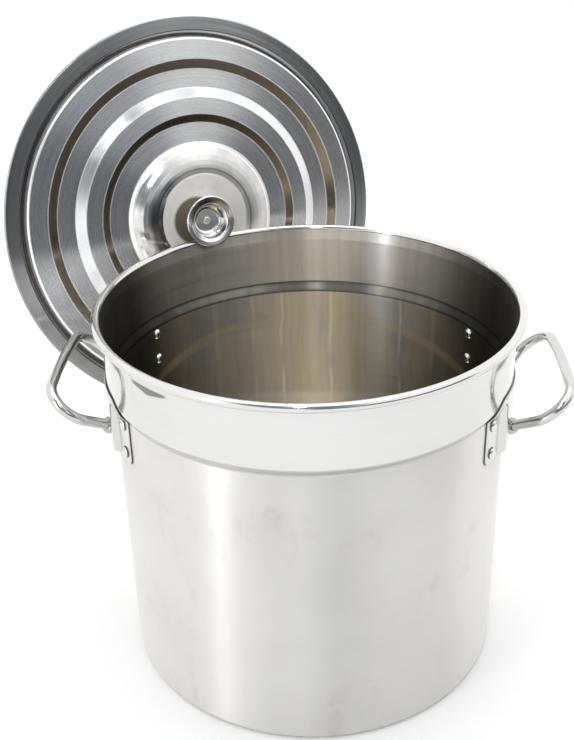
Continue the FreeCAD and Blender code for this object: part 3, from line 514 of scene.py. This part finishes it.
def dome_steel(name):
    """Pressed dome: mirror-like on the left, cloudier and paler over the top and the right, with a painted shade ring
    at the bend near its inner edge and a painted dark reflection crescent on the left near its outer edge.
    """
    k = Nodes(name, True)
    b = k.bsdf
    b.inputs["Metallic"].default_value = 1.0
    x, y, z = k.xyz()
    rad = k.math("SQRT", k.math("ADD", k.math("MULTIPLY", x, x), k.math("MULTIPLY", y, y)))
    turn_ = k.math("ARCTAN2", x, y)
    cloud = k.noise(k.scaled(1, 1, 1), 38.0, 4.0, 0.6)
    lines = k.noise(k.join(k.math("MULTIPLY", rad, 900.0), k.math("MULTIPLY", x, 8.0), k.math("MULTIPLY", y, 8.0)), 1.0, 3.0, 0.7)
    soft = k.math("MULTIPLY", k.map(turn_, -0.80, -0.25, 0.0, 1.0, True), k.map(turn_, 2.2, 2.9, 1.0, 0.0, True))
    colour = k.mix(k.map(cloud, 0.36, 0.64, 0.0, 1.0, True), (0.88, 0.875, 0.855), (0.66, 0.65, 0.63))
    colour = k.mix(k.math("MULTIPLY", soft, 0.35), colour, (0.80, 0.785, 0.755))
    # painted shade: a dark ring at the bend near the dome's inner edge
    rim = k.map(k.math("ABSOLUTE", k.math("SUBTRACT", rad, 0.0488)), 0.0004, 0.0016, 0.75, 0.0, True)
    colour = k.mix(rim, colour, (0.20, 0.19, 0.175))
    # painted reflection: a dark crescent on the left near the dome's outer edge
    dusk = k.math("MULTIPLY", k.map(rad, 0.0525, 0.0575, 0.88, 0.0, True),
                  k.math("MULTIPLY", k.map(turn_, -0.90, -1.35, 0.0, 1.0, True), k.map(turn_, -2.75, -2.35, 0.0, 1.0, True)))
    colour = k.mix(dusk, colour, (0.13, 0.125, 0.115))
    k.link(colour, b.inputs["Base Color"])
    r_ = k.math("ADD", k.map(lines, 0.25, 0.75, 0.13, 0.19), k.math("MULTIPLY", soft, 0.26))
    k.link(r_, b.inputs["Roughness"])
    swell = k.noise(k.scaled(1, 1, 1), 26.0, 1.0, 0.4)
    k.link(k.bump(swell, 1.0, 0.0009, k.bump(lines, 0.35, 0.000004)), b.inputs["Normal"])
    b.inputs["Anisotropic"].default_value = 0.5
    b.inputs["Anisotropic Rotation"].default_value = 0.25
    k.link(k.around(), b.inputs["Tangent"])
    return k.mat


dome_mat = dome_steel("lid_dome")
# painted light: the plateau's pale tones at metallic 0.45 keep it pale, and it carries the painted knob reflection ring
plateau_mat = lid_steel("lid_plateau", (0.93, 0.905, 0.86), (0.99, 0.97, 0.94), 0.55, 0.3, tone_cut=0.06, painted_knob_reflection=True, metal=0.45)
under_mat = steel("lid_underside", tilted=True, tone_a=(0.66, 0.655, 0.645), tone_b=(0.61, 0.605, 0.59), rough=0.30, rough_var=0.05, aniso=0.85, rotation=0.25,
                  brush="ring", brush_depth=0.000004, brush_tone=0.14, stain=0.3)
rod_mat = steel("rod_polish", (0.62, 0.615, 0.605), (0.57, 0.565, 0.55), 0.12, 0.04, wave=0.0002, wave_scale=60.0,
                scratch=1.0)
bracket_mat = steel("bracket_polish", (0.66, 0.655, 0.645), (0.60, 0.595, 0.58), 0.15, 0.04, wave=0.0003,
                    wave_scale=30.0, scratch=1.0)
# painted shadow: the near-black tone on the inner half of the brackets' edges
edge_shadow_mat = steel("bracket_edge_painted_shadow", (0.11, 0.105, 0.10), (0.07, 0.068, 0.06), 0.36, 0.08)
rivet_mat = steel("rivet_polish", (0.72, 0.715, 0.70), (0.66, 0.65, 0.635), 0.14, 0.05)
# painted shade: a dark tone on the low rim of each rivet head where it meets the plate
rivet_shade_mat = steel("rivet_rim_painted_shade", (0.16, 0.155, 0.145), (0.09, 0.085, 0.08), 0.34, 0.08)
weld_mat = steel("weld_bead", (0.70, 0.695, 0.685), (0.30, 0.29, 0.27), 0.13, 0.05, wave=0.0011, wave_scale=190.0)
# painted shade: the outer step's darker steel under the collar's edge
step_shade_mat = steel("body_step_painted_shade", (0.60, 0.595, 0.585), (0.54, 0.535, 0.52), 0.30, 0.04, aniso=0.85, rotation=0.25, brush="level",
                 brush_tone=0.05)
knob_mat = steel("knob_polish", tilted=True, tone_a=(0.90, 0.89, 0.87), tone_b=(0.82, 0.81, 0.79), rough=0.17, rough_var=0.04, brush="ring", brush_depth=0.000004, brush_tone=0.05)
screw_mat = steel("screw_bright", tilted=True, tone_a=(0.90, 0.89, 0.87), tone_b=(0.80, 0.79, 0.77), rough=0.34, rough_var=0.08)

# painted reflection: a dark patch under the bead at the front left of the collar
k = Nodes.__new__(Nodes)
k.mat, k.nt, k.tilted = collar_mat, collar_mat.node_tree, False
k.bsdf = next(n for n in k.nt.nodes if n.type == "BSDF_PRINCIPLED")
k.pos = k.nt.nodes.new("ShaderNodeTexCoord").outputs["Object"]
clean = k.bsdf.inputs["Base Color"].links[0].from_socket
px_, py_, pz_ = k.xyz()
turned = k.math("MULTIPLY", k.math("ARCTAN2", py_, px_), 57.29578)
away = k.math("ABSOLUTE", k.math("ADD", turned, 132.5))
foot_ = k.math("SUBTRACT", pz_, k.math("ADD", 0.3136, k.math("MULTIPLY", away, 0.00062)))
dark_reflection_mask = k.math("MULTIPLY", k.map(away, 5.5, 7.8, 0.82, 0.0, True),
                k.math("MULTIPLY", k.map(foot_, -0.0006, 0.0010, 0.0, 1.0, True), k.map(pz_, 0.3196, 0.3212, 1.0, 0.0, True)))
k.link(k.mix(dark_reflection_mask, clean, (0.12, 0.12, 0.12)), k.bsdf.inputs["Base Color"])

# ------------------------------------------------------------------ pot
BEAD_R, BEAD_Z, TUBE, SHEET = 178.7, 331.4, 3.6, 1.0


def arc(cx, cy, r, a0, a1, n):
    return [(cx + r * math.cos(math.radians(a0 + (a1 - a0) * i / n)),
             cy + r * math.sin(math.radians(a0 + (a1 - a0) * i / n))) for i in range(n + 1)]


outer = split_long(rounded([(0, 0, 0), (170, 0, 6.5), (170, 269, 4.0), (174.9, 275.5, 4.0), (174.9, 321.5, 12.0),
                            (176.1, 331.4, 0)], 6), 18)
inner_curl = arc(BEAD_R, BEAD_Z, TUBE - SHEET, 180, -125, 30)
outer_curl = arc(BEAD_R, BEAD_Z, TUBE, -125, 180, 44)
inner = split_long(rounded([(175.1, 331.4, 0), (173.9, 321.5, 12.0), (173.9, 275.5, 4.0), (169, 269, 4.0),
                            (169, 1.2, 5.3), (0, 1.2, 0)], 6), 18)
run = outer[:-1] + inner_curl + outer_curl[:-1] + inner
n_out = len(outer) - 1
n_curl = n_out + len(inner_curl) + len(outer_curl) - 1


def pot_zone(i, a, b):
    if i < n_out:
        if min(a[1], b[1]) > 267.0 and max(a[1], b[1]) < 276.5:
            return 5
        return 1 if min(a[1], b[1]) > 272.0 else 0
    if i < n_curl:
        return 1
    if max(a[1], b[1]) < 1.5 and max(a[0], b[0]) < 164.5:
        return 3
    if min(a[1], b[1]) > 266.0 and max(a[1], b[1]) < 278.5:
        return 4
    return 2


pot = lathe("pot_wall", run, "pot", 288, mats=(body_mat, collar_mat, inside_mat, floor_mat, ledge_mat, step_shade_mat), zone=pot_zone)
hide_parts("pot_shell")

# ------------------------------------------------------------------ lid
top_pts = [(0, 16.4, 0), (42.8, 16.4, 0.8), (44.6, 15.9, 0.8), (47.6, 16.4, 1.2), (52.6, 16.0, 9), (57.4, 14.95, 9), (62.0, 13.3, 9),
           (66.2, 11.2, 9), (69.4, 9.1, 6), (71.6, 8.0, 2.0), (73.5, 5.8, 1.4), (91.9, 4.7, 1.2), (99.8, 7.6, 1.2),
           (115.2, 6.6, 1.2), (124.6, 2.0, 1.2), (141.4, 0.9, 1.2), (150.8, 4.3, 1.2), (168.2, 3.2, 1.0), (169.8, 2.4, 1.0),
           (172.0, -4.4, 0.8), (173.4, -4.4, 0.8), (175.9, -1.2, 0), (177.0, 0.2, 0.6), (188.2, 0.35, 0)]
top_run = split_long(rounded(top_pts, 4, 0.3), 9)
hem_run = arc(188.2, 0.35 - 1.8, 1.8, 90, -200, 26)


def offset(run_, t):
    out = []
    for i in range(len(run_)):
        a, b = run_[max(0, i - 1)], run_[min(len(run_) - 1, i + 1)]
        dx, dy = b[0] - a[0], b[1] - a[1]
        l = math.hypot(dx, dy)
        out.append((run_[i][0] + dy / l * t, run_[i][1] - dx / l * t))
    out[0] = (0.0, out[0][1])
    return out


under_run = [p for p in offset(top_run, 0.8) if p[0] < 186.0][::-1]
lid_run = top_run + hem_run[1:] + under_run


def lid_zone(i, a, b):
    """0 flats, 1 plateau, 2 falling rings, 3 rising rings, 4 bright edges, 5 flange, 6 groove, 7 dome, 8 underside."""
    if i >= len(top_run) + len(hem_run) - 2:
        return 8
    r = 0.5 * (a[0] + b[0])
    if i >= len(top_run) - 1 or r > 177.2:
        return 5
    if r > 175.8 or 171.6 < r < 173.6:
        return 6
    if r > 173.5:
        return 5
    if r > 168.4:
        return 4
    if r < 43.2:
        return 1
    if r < 70.2:
        return 7
    if r < 74.3:
        return 4
    if math.hypot(a[0] - b[0], a[1] - b[1]) < 0.42:
        return 4
    going = (b[1] - a[1]) / max(1e-6, abs(a[0] - b[0])) * (1 if a[0] > b[0] else -1)
    if -0.13 < going < 0.13:
        return 0
    if going < -0.30:
        return 2
    if going > 0.42:
        return 3
    return 4


lid = lathe("lid_disc", lid_run, "lid", 320,
            mats=(lid_mat, plateau_mat, fall_mat, rise_mat, line_mat, flange_mat, groove_mat, dome_mat, under_mat),
            zone=lid_zone, matrix=hang)
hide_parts("lid_pressing")

# knob
KB = 19.0
KT = KB + 13.7
knob_run = rounded([(0, KB, 0), (13.2, KB, 0.6), (14.6, KB + 0.9, 1.2), (15.6, KB + 4.6, 8), (16.6, KB + 7.8, 6),
                    (18.6, KT - 2.6, 3), (23.6, KT - 2.1, 1.0), (24.6, KT - 1.1, 1.0), (23.6, KT, 1.0), (20.0, KT - 0.6, 1.5),
                    (19.0, KT - 1.0, 0.8), (17.3, KT - 1.5, 1.0), (15.2, KB + 8.2, 5), (14.3, KB + 4.8, 6),
                    (13.2, KB + 2.1, 3), (11.8, KB + 1.5, 0.8), (10.6, KB + 1.2, 0.6), (0, KB + 1.2, 0)], 5, 0.2)
knob = lathe("knob_dish", knob_run, "lid", 128, mats=(knob_mat,), matrix=hang)
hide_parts("lid_knob")
spacer_run = rounded([(0, 16.3, 0), (13.6, 16.3, 0.4), (13.6, KB, 0.5), (0, KB, 0)], 4, 0.2)
spacer = lathe("knob_spacer_ring", spacer_run, "lid", 96, mats=(knob_mat,), matrix=hang)
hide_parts("knob_spacer")

# screw head with its cross recess
verts, faces = [], []
NR, NA = 44, 128
SH = KB + 1.2
for i in range(NR + 1):
    r = 4.4 * (i / NR) ** 0.9
    for j in range(NA):
        t = 2 * math.pi * j / NA
        x, y = r * math.cos(t), r * math.sin(t)
        q = t + math.radians(-20.0)
        xr, yr = r * math.cos(q), r * math.sin(q)
        h = 2.5 * (1 - (r / 4.4) ** 3.2) ** 0.75 if r < 4.4 else 0.0
        arm = min(max(abs(xr) - 2.2, abs(yr) - 0.45), max(abs(yr) - 2.2, abs(xr) - 0.45))
        depth = min(1.0, max(0.0, -arm / 0.22)) * (1.7 - 0.45 * r)
        h -= max(0.0, depth)
        verts.append((x * MM, y * MM, (SH + h) * MM))
for i in range(NR):
    for j in range(NA):
        j2 = (j + 1) % NA
        faces.append((i * NA + j, (i + 1) * NA + j, (i + 1) * NA + j2, i * NA + j2))
screw = new_object("screw_head", verts, faces, "lid", (screw_mat,), None, True, hang)
shank = lathe("screw_end", rounded([(0, 6.7, 0), (2.1, 6.7, 0.3), (2.5, 7.2, 0.2), (2.5, 12.0, 0)], 3, 0.1), "lid", 40,
              mats=(screw_mat,), matrix=hang)
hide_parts("knob_screw")
washer = lathe("nut_washer", rounded([(2.6, 14.4, 0.1), (7.0, 14.4, 0.3), (7.0, 15.6, 0.2), (2.6, 15.6, 0.1)], 3, 0.1), "lid", 64,
               closed=True, mats=(screw_mat,), matrix=hang)
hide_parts("knob_washer")
verts, faces = [], []
NH = 72
rings = []
for lev in range(6):
    ids = []
    for j in range(NH):
        t = 2 * math.pi * j / NH
        rh = 4.62 * math.cos(math.pi / 6) / math.cos((t % (math.pi / 3)) - math.pi / 6)
        rc = min(rh, 4.2)
        r, z = [(rh, 14.4), (rh, 10.4 + (rh - rc) * 0.55 + 0.02), (rc, 10.4), (2.75, 10.4), (2.5, 10.7), (2.5, 14.4)][lev]
        ids.append(len(verts))
        verts.append((r * MM * math.cos(t), r * MM * math.sin(t), z * MM))
    rings.append(ids)
for a, b in zip(rings, rings[1:] + rings[:1]):
    for j in range(NH):
        j2 = (j + 1) % NH
        faces.append((a[j], b[j], b[j2], a[j2]))
nut = new_object("hex_nut", verts, faces, "lid", (screw_mat,), None, False, hang)
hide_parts("knob_nut")

# ------------------------------------------------------------------ brackets
def smooth(a, b, x):
    t = max(0.0, min(1.0, (x - a) / (b - a)))
    return t * t * (3 - 2 * t)


def bracket_radius(a_deg, z):
    """Inside radius of the pressed plate at an angle from its middle and a height."""
    ear = 170.12 + 4.9 * smooth(266.6, 275.0, z)
    return ear + (175.02 - ear) * (1 - smooth(21.8, 24.0, abs(a_deg)))


def edge_low(y):
    y = abs(y)
    return 224.5 if y < 84.0 else 224.5 + 8.5 * (1 - math.sqrt(max(0.0, 1 - ((y - 84.0) / 8.5) ** 2)))


def edge_high(y):
    y = abs(y)
    if y < 30:
        base = 277.0
    elif y < 72:
        base = 277.0 + 3.0 * smooth(30, 72, y)
    elif y < 78:
        base = 280.0 - 1.2 * ((y - 72) / 6) ** 2
    elif y < 85.5:
        base = 278.8 - 0.417 * (y - 78)
    else:
        base = 275.67 - 5.1 * (1 - math.sqrt(max(0.0, 1 - ((y - 85.5) / 7.0) ** 2)))
    return base


def make_bracket(name, side, node):
    mirror = 1.0 if side == "right" else -1.0
    s = np.linspace(-1, 1, 141)
    ys = 92.5 * np.sin(s * math.pi / 2 * 0.985) / math.sin(math.pi / 2 * 0.985)
    ts = np.linspace(0, 1, 44)
    edge = 0.7
    layers = []
    verts, faces = [], []

    def add_layer(depth, inset):
        ids = []
        for y in ys:
            row = []
            y_ = y * (1 - inset / 92.5)
            lo, hi = edge_low(y) + inset, edge_high(y) - inset
            for t in ts:
                z = lo + (hi - lo) * t
                r = 174.0
                for _ in range(3):
                    a = math.degrees(math.asin(max(-1, min(1, y_ / (r + depth)))))
                    r = bracket_radius(a, z)
                ar = math.radians(a)
                row.append(len(verts))
                verts.append((mirror * (r + depth) * math.cos(ar) * MM, (r + depth) * math.sin(ar) * MM, z * MM))
            ids.append(row)
        return ids

    inner_ = add_layer(0.0, 0.0)
    mid_ = add_layer(1.6 - edge, 0.0)
    outer_ = add_layer(1.6, edge)

    def skin(ids, flip):
        for i in range(len(ys) - 1):
            for j in range(len(ts) - 1):
                f = (ids[i][j], ids[i + 1][j], ids[i + 1][j + 1], ids[i][j + 1])
                faces.append(f[::-1] if flip else f)

    def loop(ids):
        out = [ids[i][0] for i in range(len(ys))]
        out += [ids[-1][j] for j in range(1, len(ts))]
        out += [ids[i][-1] for i in range(len(ys) - 2, -1, -1)]
        out += [ids[0][j] for j in range(len(ts) - 2, 0, -1)]
        return out

    skin(outer_, mirror < 0)
    skin(inner_, mirror > 0)
    flat = len(faces)
    rims = []
    # the inner half of each edge takes the painted shadow tone, the outer bevel keeps the polish
    for tone, a_, b_ in ((1, loop(inner_), loop(mid_)), (0, loop(mid_), loop(outer_))):
        for i in range(len(a_)):
            i2 = (i + 1) % len(a_)
            f = (a_[i], a_[i2], b_[i2], b_[i])
            faces.append(f[::-1] if mirror < 0 else f)
            rims.append(tone)
    ob = new_object(name, verts, faces, "pot", (bracket_mat, edge_shadow_mat),
                    [0] * flat + rims, True)
    mod = ob.modifiers.new("edges", "EDGE_SPLIT")
    mod.split_angle = math.radians(50)
    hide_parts(node)
    return ob


make_bracket("bracket_right", "right", "right_bracket")
make_bracket("bracket_left", "left", "left_bracket")

# ------------------------------------------------------------------ grip rods and their foot collars
PANEL = 176.6
A0, TILT, SPLAY = math.radians(13.7), math.radians(41.0), math.radians(38.0)
REACH, CORNER, BOW, FOOT_Z, ROD = 61.5, 23.0, 600.0, 235.6, 4.6


def rod_line(mirror):
    qf = PANEL * math.sin(A0)
    cp = REACH - BOW
    fx, fy = CORNER * math.sin(SPLAY) - cp, qf - CORNER * math.cos(SPLAY)
    bq = fx * math.cos(SPLAY) + fy * math.sin(SPLAY)
    cq = fx * fx + fy * fy - (BOW - CORNER) ** 2
    lam = -bq + math.sqrt(bq * bq - cq)
    cc = (lam * math.cos(SPLAY) + CORNER * math.sin(SPLAY), qf + lam * math.sin(SPLAY) - CORNER * math.cos(SPLAY))
    t1 = (lam * math.cos(SPLAY), qf + lam * math.sin(SPLAY))
    d = math.hypot(cc[0] - cp, cc[1])
    ux, uy = (cc[0] - cp) / d, cc[1] / d
    m1, m2 = math.atan2(t1[1] - cc[1], t1[0] - cc[0]), math.atan2(uy, ux)
    half = [(t1[0] * k / 10, qf + (t1[1] - qf) * k / 10) for k in range(0, 11)]
    half += [(cc[0] + CORNER * math.cos(m1 + (m2 - m1) * k / 16), cc[1] + CORNER * math.sin(m1 + (m2 - m1) * k / 16)) for k in range(1, 17)]
    half += [(cp + BOW * math.cos(m2 * (1 - k / 16)), BOW * math.sin(m2 * (1 - k / 16))) for k in range(1, 17)]

    def place(p, q):
        return (mirror * (PANEL * math.cos(A0) + p * math.cos(TILT)), q, FOOT_Z + p * math.sin(TILT))

    return [place(p, -q) for p, q in half] + [place(p, q) for p, q in half[::-1][1:]]


def to_panel(q, d, radius=PANEL - 0.4):
    """Moves a point along the rod until it lies on the bracket's round panel."""
    a = d[0] ** 2 + d[1] ** 2
    b = 2 * (q[0] * d[0] + q[1] * d[1])
    c = q[0] ** 2 + q[1] ** 2 - radius ** 2
    disc = math.sqrt(max(0.0, b * b - 4 * a * c))
    roots = [(-b - disc) / (2 * a), (-b + disc) / (2 * a)]
    t = min(roots, key=abs)
    return q + d * t


for side, mirror in (("right", 1.0), ("left", -1.0)):
    line = rod_line(mirror)
    rod = tube("grip_rod_" + side, line, ROD, "pot", 36, (rod_mat,), ends=to_panel)
    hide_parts(side + "_handle")
    for tag, sgn in (("front", -1.0), ("rear", 1.0)):
        foot = np.array((mirror * PANEL * math.cos(A0), sgn * PANEL * math.sin(A0), FOOT_Z))
        d = np.array((mirror * math.cos(SPLAY) * math.cos(TILT), sgn * math.sin(SPLAY), math.cos(SPLAY) * math.sin(TILT)))
        prof = [(0.0, 7.55), (0.6, 7.5), (1.6, 7.3), (2.6, 6.9), (3.3, 6.5), (3.9, 5.9), (4.15, 5.2), (4.2, 4.55)]
        centres = [foot + d * t for t, r in prof]
        ring = tube("foot_collar_%s_%s" % (side, tag), centres, [r for t, r in prof], "pot", 40, (weld_mat,),
                    ends=lambda q, t, c=centres: to_panel(q, t) if np.linalg.norm(q - c[0]) < np.linalg.norm(q - c[-1]) else q)
        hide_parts("%s_%s_collar" % (side, tag))

# ------------------------------------------------------------------ rivets
head = [(0.0, 2.6), (1.2, 2.57), (2.3, 2.4), (3.3, 2.05), (4.1, 1.5), (4.75, 0.85), (5.1, 0.35), (5.2, 0.1), (5.2, -0.25)]
tail = [(0.0, 2.8), (1.3, 2.75), (2.5, 2.5), (3.5, 2.05), (4.3, 1.4), (4.85, 0.8), (5.15, 0.3), (5.2, 0.0), (5.2, -0.2)]
for side, mid in (("right", 0.0), ("left", 180.0)):
    sg = -1.0 if side == "right" else 1.0
    for where, s2 in (("front", sg), ("rear", -sg)):
        ang = math.radians(mid + s2 * 29.5)
        out_dir = Vector((math.cos(ang), math.sin(ang), 0.0))
        for lev, z in (("upper", 261.2), ("lower", 235.4)):
            for part, prof, rad, sign in (("head", head, 171.72, 1.0), ("tail", tail, 168.88, -1.0)):
                q = (out_dir * sign).to_track_quat("Z", "Y").to_matrix().to_4x4()
                q.translation = Vector((math.cos(ang) * rad * MM, math.sin(ang) * rad * MM, z * MM))
                # the low rim of each head takes the painted shade tone
                lathe("rivet_%s_%s_%s_%s" % (side, where, lev, part), prof[::-1], "pot", 40,
                                  mats=(rivet_mat, rivet_shade_mat), matrix=q,
                                  zone=lambda i, a, b, p_=part: 1 if p_ == "head" and max(a[1], b[1]) < 0.9 else 0)
        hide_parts("%s_%s_rivets" % (side, where))

# ------------------------------------------------------------------ stage and light
me = bpy.data.meshes.new("floor")
me.from_pydata([(-9, -9, 0), (9, -9, 0), (9, 9, 0), (-9, 9, 0)], [], [(0, 1, 2, 3)])
floor = bpy.data.objects.new("floor", me)
scene.collection.objects.link(floor)
fm = bpy.data.materials.new("pale_floor")
fm.use_nodes = True
fb = fm.node_tree.nodes["Principled BSDF"]
fb.inputs["Base Color"].default_value = (0.90, 0.90, 0.895, 1)
fb.inputs["Roughness"].default_value = 0.9
fb.inputs["Specular IOR Level"].default_value = 0.1
me.materials.append(fm)

world = bpy.data.worlds.new("studio")
scene.world = world
world.use_nodes = True
wn = world.node_tree
wn.nodes.clear()
wo = wn.nodes.new("ShaderNodeOutputWorld")
bg = wn.nodes.new("ShaderNodeBackground")
wn.links.new(bg.outputs[0], wo.inputs[0])
tc = wn.nodes.new("ShaderNodeTexCoord")


def dot_dir(az_deg, el_deg=0.0):
    """How nearly a direction points to an azimuth (from +X, turning to +Y) and elevation: 1 is straight at it."""
    a, e = math.radians(az_deg), math.radians(el_deg)
    v = wn.nodes.new("ShaderNodeVectorMath")
    v.operation = "DOT_PRODUCT"
    wn.links.new(tc.outputs["Generated"], v.inputs[0])
    v.inputs[1].default_value = (math.cos(a) * math.cos(e), math.sin(a) * math.cos(e), math.sin(e))
    return v.outputs["Value"]


def dot_flat(az_deg):
    """The same for the azimuth alone, whatever the height."""
    flat_dir = wn.nodes.new("ShaderNodeVectorMath")
    flat_dir.operation = "MULTIPLY"
    wn.links.new(tc.outputs["Generated"], flat_dir.inputs[0])
    flat_dir.inputs[1].default_value = (1.0, 1.0, 0.0)
    unit = wn.nodes.new("ShaderNodeVectorMath")
    unit.operation = "NORMALIZE"
    wn.links.new(flat_dir.outputs[0], unit.inputs[0])
    v = wn.nodes.new("ShaderNodeVectorMath")
    v.operation = "DOT_PRODUCT"
    wn.links.new(unit.outputs[0], v.inputs[0])
    a = math.radians(az_deg)
    v.inputs[1].default_value = (math.cos(a), math.sin(a), 0.0)
    return v.outputs["Value"]


def wmap(v, a, b, c, d):
    n = wn.nodes.new("ShaderNodeMapRange")
    n.interpolation_type = "SMOOTHSTEP"
    wn.links.new(v, n.inputs["Value"])
    for key, val in (("From Min", a), ("From Max", b), ("To Min", c), ("To Max", d)):
        n.inputs[key].default_value = val
    return n.outputs[0]


def wmath(op, a, b):
    n = wn.nodes.new("ShaderNodeMath")
    n.operation = op
    for s, v in zip(n.inputs, (a, b)):
        if hasattr(v, "node"):
            wn.links.new(v, s)
        else:
            s.default_value = v
    return n.outputs[0]


sep = wn.nodes.new("ShaderNodeSeparateXYZ")
wn.links.new(tc.outputs["Generated"], sep.inputs[0])
# a dim side of the room to the front right, low down, and a dim patch high in front; bright everywhere else
dim_side = wmath("MULTIPLY", wmap(dot_flat(-45.0), 0.66, 0.80, 0.0, 1.0), wmap(sep.outputs[2], 0.22, 0.46, 1.0, 0.0))
dim_high = wmap(dot_dir(-95.0, 42.0), 0.84, 0.93, 0.0, 0.85)
dim = wmath("MAXIMUM", dim_side, dim_high)
level = wmath("SUBTRACT", 1.30, wmath("MULTIPLY", dim, 1.16))
wn.links.new(level, bg.inputs["Strength"])
mixc = wn.nodes.new("ShaderNodeMix")
mixc.data_type = "RGBA"
wn.links.new(dim, mixc.inputs[0])
mixc.inputs[6].default_value = (1.0, 1.0, 1.0, 1)
mixc.inputs[7].default_value = (0.80, 0.90, 1.0, 1)
wn.links.new(mixc.outputs[2], bg.inputs["Color"])


def area(name, loc, target, sx, sy, power, colour=(1, 1, 1)):
    l = bpy.data.lights.new(name, "AREA")
    l.shape = "RECTANGLE"
    l.size, l.size_y = sx, sy
    l.energy = power
    l.color = colour
    o = bpy.data.objects.new(name, l)
    scene.collection.objects.link(o)
    o.location = loc
    o.rotation_euler = (Vector(target) - Vector(loc)).to_track_quat("-Z", "Y").to_euler()
    return o


area("overhead", (0.2, 0.3, 2.8), (0, 0, 0.2), 2.2, 2.2, 14.0)
area("strip_left", (-1.645, -1.56, 0.9), (0, 0, 0.2), 0.12, 1.5, 6.5)
area("strip_high_a", (-0.10, -1.35, 2.0), (0, 0, 0.2), 0.06, 0.9, 5.0)
